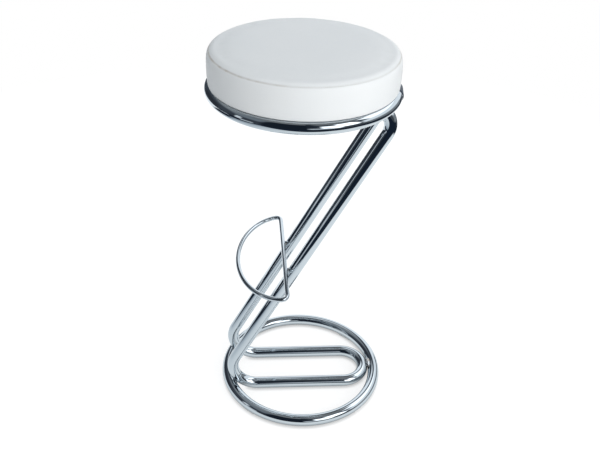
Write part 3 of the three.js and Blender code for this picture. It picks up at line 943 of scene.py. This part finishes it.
# %% Staples
STAPLES, STAPLE_RING = 40, 147 * MM
STAPLE_SIZE = (1.1 * MM, 9.5 * MM, 0.5 * MM)
STAPLE_EDGE, STAPLE_PROUD = 0.2 * MM, 0.1 * MM
STRAP_OFF, STRAP_HALF = 75 * MM, 21 * MM


def staple_shape():
    shape = bmesh.new()
    bmesh.ops.create_cube(shape, size=1)
    bmesh.ops.scale(shape, vec=STAPLE_SIZE, verts=shape.verts)
    bmesh.ops.bevel(shape, geom=shape.edges[:], offset=STAPLE_EDGE, segments=1, affect="EDGES")
    return finished(shape, "one_staple")


staple_points = []
for k in range(STAPLES):
    place = polar(STAPLE_RING, 2 * math.pi * (k + 0.5) / STAPLES, CLOTH_Z - STAPLE_PROUD)
    if abs(abs(place.x - SEAT_X) - STRAP_OFF) > STRAP_HALF:
        staple_points.append(place)
seed = seed_mesh("staple_points", staple_points, joined=False)
staples = repeat("dust_cloth_staples", loose_row, seed, staple_shape(), zinc, Twist=0.22)
hand_over(staples, "zinc_steel")

# %% [markdown]
# Four pan-head screws and washers hold the board to the straps, from below. The cross recess is
# pressed into the head's rings of points, and the rim of the head is rounded.

# %% Screws and washers
SCREW_OUT, SCREW_ACROSS = 75 * MM, 108.1 * MM
HEAD_FACE = 0.3 * MM
RECESS_HALF, RECESS_REACH = 0.62 * MM, 2.4 * MM
RECESS_DEPTH, RECESS_SLOPE = 1.5 * MM, 3.0 * MM

# In millimetres, as the profiles are
HEAD_Z, WASHER_Z = 713.4, 716.7

spots = [(SEAT_X + i * SCREW_OUT, j * SCREW_ACROSS) for i in (-1, 1) for j in (-1, 1)]
screw_points = [(x, y, 0) for x, y in spots]


def screw_shape():
    profile = [(0, 0.1), (0.5, 0.1), (1.0, 0.1), (1.5, 0.12), (2.1, 0.16), (2.6, 0.25)]
    profile += [(3.2, 0.45), (3.8, 0.8), (4.2, 1.4), (4.4, 2.2), (4.4, 2.85), (4.2, 3.0)]
    profile += [(2.1, 3.0), (2.1, 18.5), (1.4, 19.6), (0, 20.2)]
    piece = turned_shape("one_screw", profile, 32, zinc, lift=HEAD_Z)
    for point in piece.data.vertices:
        x, y, height = abs(point.co.x), abs(point.co.y), point.co.z - HEAD_Z * MM
        if min(x, y) < RECESS_HALF and max(x, y) < RECESS_REACH and height < HEAD_FACE:
            point.co.z += RECESS_DEPTH * (1 - max(x, y) / RECESS_SLOPE)
    return piece


def washer_shape():
    profile = [(2.5, 0.15), (2.65, 0), (6.7, 0), (7.0, 0.3), (7.0, 0.85), (6.85, 1.0)]
    profile += [(2.5, 1.0), (2.5, 0.15)]
    return turned_shape("one_washer", profile, 40, zinc, lift=WASHER_Z)


seed = seed_mesh("screws", screw_points, joined=False)
screws = repeat("seat_screws", loose_row, seed, screw_shape(), zinc, Twist=0.8)
hand_over(screws, "zinc_steel", *[f"seat_screw_{k}" for k in range(1, 5)])
seed = seed_mesh("washers", screw_points, joined=False)
washers = repeat("seat_washers", loose_row, seed, washer_shape(), zinc)
hand_over(washers, "zinc_steel", *[f"seat_washer_{k}" for k in range(1, 5)])

# %% [markdown]
# A weld bead is a row of overlapping puddles. Each starts from its own solid, cut to the tubes'
# shapes. The solid's loose triangles are joined and remeshed to an even net, and then each point
# moves along its normal by a ripple along the bead, with some noise on top.

# %% Weld beads
BEAD_NET = 0.55 * MM
PUDDLE = 2.3 * MM
LUMP_SCALE = 420


def weld_bead(name, solid):
    shape = bmesh.new()
    shape.from_mesh(nodes[solid].data)
    bmesh.ops.remove_doubles(shape, verts=shape.verts, dist=0.01 * MM)
    piece = finished(shape, name)
    even = piece.modifiers.new("even_net", "REMESH")
    even.mode, even.voxel_size = "VOXEL", BEAD_NET
    soft = piece.modifiers.new("soft_edges", "SMOOTH")
    soft.factor, soft.iterations = 0.5, 3
    graph = bpy.context.evaluated_depsgraph_get()
    mesh = bpy.data.meshes.new_from_object(piece.evaluated_get(graph), depsgraph=graph)
    bpy.data.objects.remove(piece)
    places = np.array([v.co[:] for v in mesh.vertices])
    middle = places.mean(axis=0)
    along = Vector(np.linalg.svd(places - middle, full_matrices=False)[2][0])
    for point, normal in zip(mesh.vertices, [v.normal.copy() for v in mesh.vertices]):
        phase = (point.co - Vector(middle)).dot(along) / PUDDLE
        puddles, lumps = abs(math.cos(math.pi * phase)), noise.noise(point.co * LUMP_SCALE)
        point.co += normal * (0.45 * puddles + 0.35 * lumps + 0.15) * MM
    mesh.materials.clear()
    mesh.materials.append(bead_metal)
    mesh.polygons.foreach_set("use_smooth", [True] * len(mesh.polygons))
    hand_over(new_piece(name, mesh), "weld", solid)


for spot in ("floor_loop", "seat_loop", "foot_front", "foot_rear", "head_front", "head_rear"):
    weld_bead(f"bead_{spot}", f"weld_{spot}")

# %% [markdown]
# Solids that already have the right shape stay as they are, and only get their finishes.

# %% Finishes of the carried-over solids
carried = {
    chrome: ["base_ring_plug", "floor_loop_plug", "seat_loop_plug"],
    black_steel: ["seat_strap_left", "seat_strap_right"],
    plywood: ["seat_board"],
    glide_plastic: ["glide_1", "glide_2", "glide_3", "glide_4"],
}
for finish, names in carried.items():
    for name in names:
        for slot in nodes[name].material_slots:
            slot.material = finish

# %% [markdown]
# The stool stands on a white floor in an empty white studio. The floor and the world show white to
# the camera and to glossy rays alike. A share of the floor is plain matte white, so that it keeps
# the soft shadow under the rings. This share fades away from the stool, and so the floor has no
# visible end. Close to a tube, the floor's glow is dimmed too: a painted contact shadow.

# %% White floor and world
FLOOR_HALF = 7.0
MATTE_SHARE = 0.45
FADE_FROM, FADE_TO = 0.7, 2.0
GLOW_NEAR = 1.42


def seen_white(paint):
    """1 for the rays that show a surface itself: camera, glossy and transmission rays."""
    kinds = ("Camera", "Glossy", "Transmission")
    rays = [paint.node("LightPath", output=f"Is {kind} Ray") for kind in kinds]
    return paint.maths("MINIMUM", rays[0] + rays[1] + rays[2], 1.0)


def contact_shade(paint, reach, depth):
    """Less than 1 close to anything that stands on a surface, which keeps the light from it. It
    dims a glow as a painted contact shadow.
    """
    open_share = paint.node("AmbientOcclusion", {"samples": 12}, {"Distance": reach}, "AO")
    return 1 - (1 - open_share) * depth


def studio_world():
    world = bpy.data.worlds.new("studio")
    bpy.context.scene.world = world
    paint = Paint(world)
    fill = paint.node("Background", sockets={"Color": (0.93, 0.97, 1.0, 1), "Strength": 0.42})
    white = paint.node("Background", sockets={"Color": grey(1.0), "Strength": 1.0})
    both = paint.node("MixShader", sockets={0: seen_white(paint), 1: fill, 2: white})
    paint.node("OutputWorld", sockets={"Surface": both})


def square(name, half, height, finish):
    corners = [(-half, -half), (half, -half), (half, half), (-half, half)]
    mesh = bpy.data.meshes.new(name)
    mesh.from_pydata([(*corner, height) for corner in corners], [], [(0, 1, 2, 3)])
    mesh.materials.append(finish)
    return new_piece(name, mesh)


def floor_finish():
    paint = new_paint("white_floor")
    x, y = paint.apart(paint.node("TexCoord", output="Object"), 2)
    away = paint.maths("POWER", x * x + y * y, 0.5)
    share = paint.spread(away, FADE_FROM, FADE_TO, 1 - MATTE_SHARE, 1.0)
    strength = paint.spread(away, FADE_FROM, FADE_TO, GLOW_NEAR, 1.0)
    # The glow is dimmed close to the tubes: a painted contact shadow.
    strength = strength * contact_shade(paint, 8 * MM, 0.6)
    matte = paint.node("BsdfDiffuse", sockets={"Color": grey(0.80)})
    glow = paint.node("Emission", sockets={"Color": grey(1.0), "Strength": strength})
    mixed = paint.node("MixShader", sockets={0: seen_white(paint) * share, 1: matte, 2: glow})
    return paint.end(mixed)


studio_world()
square("studio_floor", FLOOR_HALF, 0, floor_finish())

# %% [markdown]
# Chrome shows the room. In an all-white room it would turn white, and its form would be lost. So a
# photographer stands grey and black cards round it, with bright windows between them. A dome holds
# the cards here, and only the metal sees it. Each card is given by its bearing from straight behind
# the stool, and by its height in degrees.

# %% Cards that only the metal sees
DOME_RADIUS = 3.0
DOME_CENTRE = Vector((0, 0, 0.3))
ROOM = (0.06, 0.072, 0.088, 1)
CARDS = [
    # bearing from, to, height from, to, soft edge, colour
    ((-190, 190, 58, 100), 10, (0.22, 0.23, 0.24)),
    ((-128, -88, 32, 58), 10, (0.20, 0.23, 0.26)),
    ((-128, -88, 0, 32), 10, (0.05, 0.06, 0.075)),
    ((-88, -22, 40, 78), 10, (0.27, 0.29, 0.31)),
    ((-72, -36, 3, 28), 8, (0.035, 0.04, 0.05)),
    ((-190, -130, -20, 62), 7, (0.012, 0.018, 0.028)),
    ((167, 190, -20, 70), 12, (0.02, 0.028, 0.04)),
    ((-122, -106, -8, 5), 3, (0.6, 0.64, 0.68)),
    ((-107, -99, -8, 26), 3, (0.8, 0.84, 0.88)),
    ((-16, 40, -10, 36), 5, (1.1, 1.15, 1.2)),
    ((-22, 12, 52, 74), 8, (0.9, 0.95, 1.0)),
    ((34, 116, 9, 34), 5, (1.0, 1.05, 1.1)),
    ((28, 102, 34, 57), 4, (1.7, 1.75, 1.8)),
    ((120, 144, 18, 52), 5, (2.4, 2.45, 2.5)),
    ((142, 164, 6, 40), 5, (2.2, 2.25, 2.3)),
    ((52, 118, -4, 13), 4, (0.26, 0.28, 0.30)),
    ((110, 176, -12, 8), 5, (0.07, 0.08, 0.09)),
    ((154, 178, 5, 15), 5, (0.8, 0.85, 0.9)),
    ((-106, -60, -12, 3.5), 1.5, (0.012, 0.018, 0.03)),
]


def inside(paint, value, low, high, soft):
    """1 between low and high, and 0 outside, with soft edges."""
    rising = paint.spread(value, low - soft / 2, low + soft / 2)
    return rising * paint.spread(value, high - soft / 2, high + soft / 2, 1.0, 0.0)


def dome_finish():
    paint = new_paint("studio_cards")
    place = paint.node("TexCoord", output="Object")
    away = paint.node("VectorMath", {"operation": "SUBTRACT"}, {0: place, 1: DOME_CENTRE[:]})
    away = paint.node("VectorMath", {"operation": "NORMALIZE"}, {0: away})
    x, y, z = paint.apart(away)
    bearing = paint.maths("ARCTAN2", x, y) * math.degrees(1)
    height = paint.maths("ARCSINE", z) * math.degrees(1)
    colour = ROOM
    for (left, right_end, low, high), soft, tint in CARDS:
        wide = inside(paint, bearing, left, right_end, soft)
        tall = inside(paint, height, low, high, soft)
        colour = paint.mix(wide * tall, colour, (*tint, 1))
    glow = paint.node("Emission", sockets={"Color": colour, "Strength": 1.0})
    return paint.end(glow)


def only_in_metal(piece):
    piece.visible_camera = piece.visible_diffuse = piece.visible_shadow = False
    piece.visible_transmission = piece.visible_volume_scatter = False


rises = [math.radians(degrees) for degrees in range(-6, 90, 6)]
dome_profile = [(DOME_RADIUS * math.cos(a), DOME_RADIUS * math.sin(a)) for a in rises]
dome_profile.append((0, DOME_RADIUS))
only_in_metal(turned_piece("card_dome", dome_profile, DOME_CENTRE, 64, dome_finish()))

# %% [markdown]
# The stool really stood on a white table. Its front edge was less than a metre away, and past it
# the metal shows the dark room: that edge is the hard black line down the legs. The table also ends
# at the left and the right, with something dark at the back left. It was brightest at the right,
# near the lamp, and in shade under the tubes. One more card, a hair above the floor, holds this,
# with the pool of light and the shade under the tubes painted on it.

# %% The table that the metal sees
TABLE_EDGE = -0.88
LEFT_SLOPE, RIGHT_SLOPE = 0.25, 0.6
RIGHT_EDGE = 1.05
TABLE_Z = 0.2 * MM


def table_finish():
    paint = new_paint("table_card")
    x, y = paint.apart(paint.node("TexCoord", output="Object"), 2)
    dark, dim = (0.012, 0.02, 0.035, 1), (0.30, 0.35, 0.40, 1)
    middle, near_lamp = (0.50, 0.56, 0.62, 1), (0.98, 1.02, 1.04, 1)
    behind_left = paint.spread(y, 0.0, 0.15) * (1 - paint.spread(y, 0.72, 0.9))
    left_part = paint.maths("MINIMUM", x, 0.0) * LEFT_SLOPE
    right_part = paint.maths("MAXIMUM", x - 0.5, 0.0) * RIGHT_SLOPE
    past_edge = y - TABLE_EDGE - left_part - right_part
    parts = [
        (paint.spread(x, -1.4, -0.9), middle),
        (paint.spread(x, -1.45, -1.7), dark),
        # A painted pool of light towards the lamp at the right.
        (paint.spread(x, -1.1, 0.1), near_lamp),
        (paint.spread(y, 0.25, 0.8), (1.1, 1.13, 1.16, 1)),
        (paint.spread(x, -0.78, -1.0) * behind_left, dark),
        (paint.spread(x, -2.3, -2.6) * behind_left, (0.9, 0.95, 1.0, 1)),
        (paint.spread(x, RIGHT_EDGE - 0.12, RIGHT_EDGE + 0.08), dark),
        (paint.spread(x, 1.5, 2.6) * 0.8, (0.20, 0.21, 0.22, 1)),
        (paint.spread(past_edge, 0.05, -0.05), dark),
    ]
    colour = dim
    for share, tint in parts:
        colour = paint.mix(share, colour, tint)
    # Painted shadow under the tubes, from ambient occlusion.
    strength = contact_shade(paint, 26 * MM, 0.95)
    glow = paint.node("Emission", sockets={"Color": colour, "Strength": strength})
    return paint.end(glow)


only_in_metal(square("table_card", DOME_RADIUS, TABLE_Z, table_finish()))

# %% [markdown]
# Five soft lamps shape the pad. The key lamp stands low at the right and lights the band more than
# the top, as in the photograph. A weaker one above keeps the top even, and one behind lights the
# back. Two faint ones lift the band's left and right ends. The metal doesn't see the lamps
# themselves, because the cards already stand for them.

# %% Lamps
def lamp(name, place, target, size, power, tint):
    data = bpy.data.lights.new(name, "AREA")
    data.shape = "RECTANGLE"
    data.size, data.size_y = size
    data.energy, data.color = power, tint
    piece = new_piece(name, data)
    piece.location = place
    aim = Vector(target) - Vector(place)
    piece.rotation_euler = aim.to_track_quat("-Z", "Y").to_euler()
    piece.visible_glossy = False


lamp("key_right", (1.22, -2.1, 1.2), (0, 0, 0.70), (3.2, 1.5), 44.5, (1.0, 0.99, 0.975))
lamp("top_light", (-0.1, 0.2, 3.0), (0, 0, 0.7), (2.2, 2.2), 18.5, (0.96, 0.98, 1.0))
lamp("rear_fill", (0.9, 2.2, 1.3), (0, 0, 0.7), (2.4, 1.6), 13, (0.97, 0.99, 1.0))
lamp("left_fill", (-1.9, -1.0, 0.95), (0, 0, 0.74), (1.2, 1.0), 2.6, (0.98, 0.99, 1.0))
lamp("right_fill", (2.0, -0.1, 0.95), (0, 0, 0.74), (1.2, 1.0), 3.4, (1.0, 1.0, 1.0))
